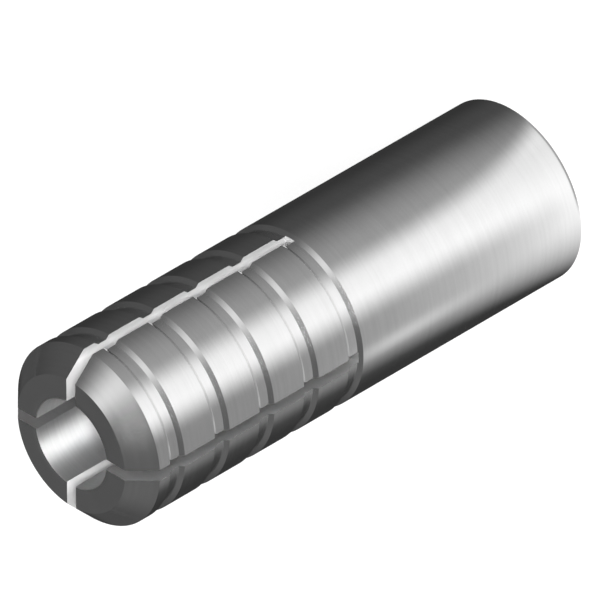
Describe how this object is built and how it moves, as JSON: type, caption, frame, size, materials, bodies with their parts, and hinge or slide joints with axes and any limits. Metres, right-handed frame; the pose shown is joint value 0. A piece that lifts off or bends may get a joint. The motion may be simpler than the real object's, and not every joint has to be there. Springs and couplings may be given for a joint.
{
  "type": "drop in anchor",
  "caption": "Steel drop-in anchor: a ringed, slotted sleeve with an internal thread at its mouth and a tapered plug inside that spreads its legs in a drilled hole.",
  "frame": {"origin": "centre of the mouth face, which the anchor stands on", "axes": "+Z along the axis from the threaded mouth to the slotted tip, with the saw cuts in the XZ and YZ planes"},
  "size_m": [0.0126, 0.0126, 0.0393],
  "materials": {
    "zinc_shell": "bright zinc plating on turned steel",
    "steel_plug": "plain turned steel"
  },
  "bodies": {
    "shell": {"anchor_shell": "zinc_shell"},
    "plug": {"expander_plug": "steel_plug"}
  },
  "joints": [
    {"name": "plug_drive", "type": "slide", "parent": "shell", "child": "plug", "axis": [0, 0, 1], "range_m": [0, 0.005]}
  ]
}
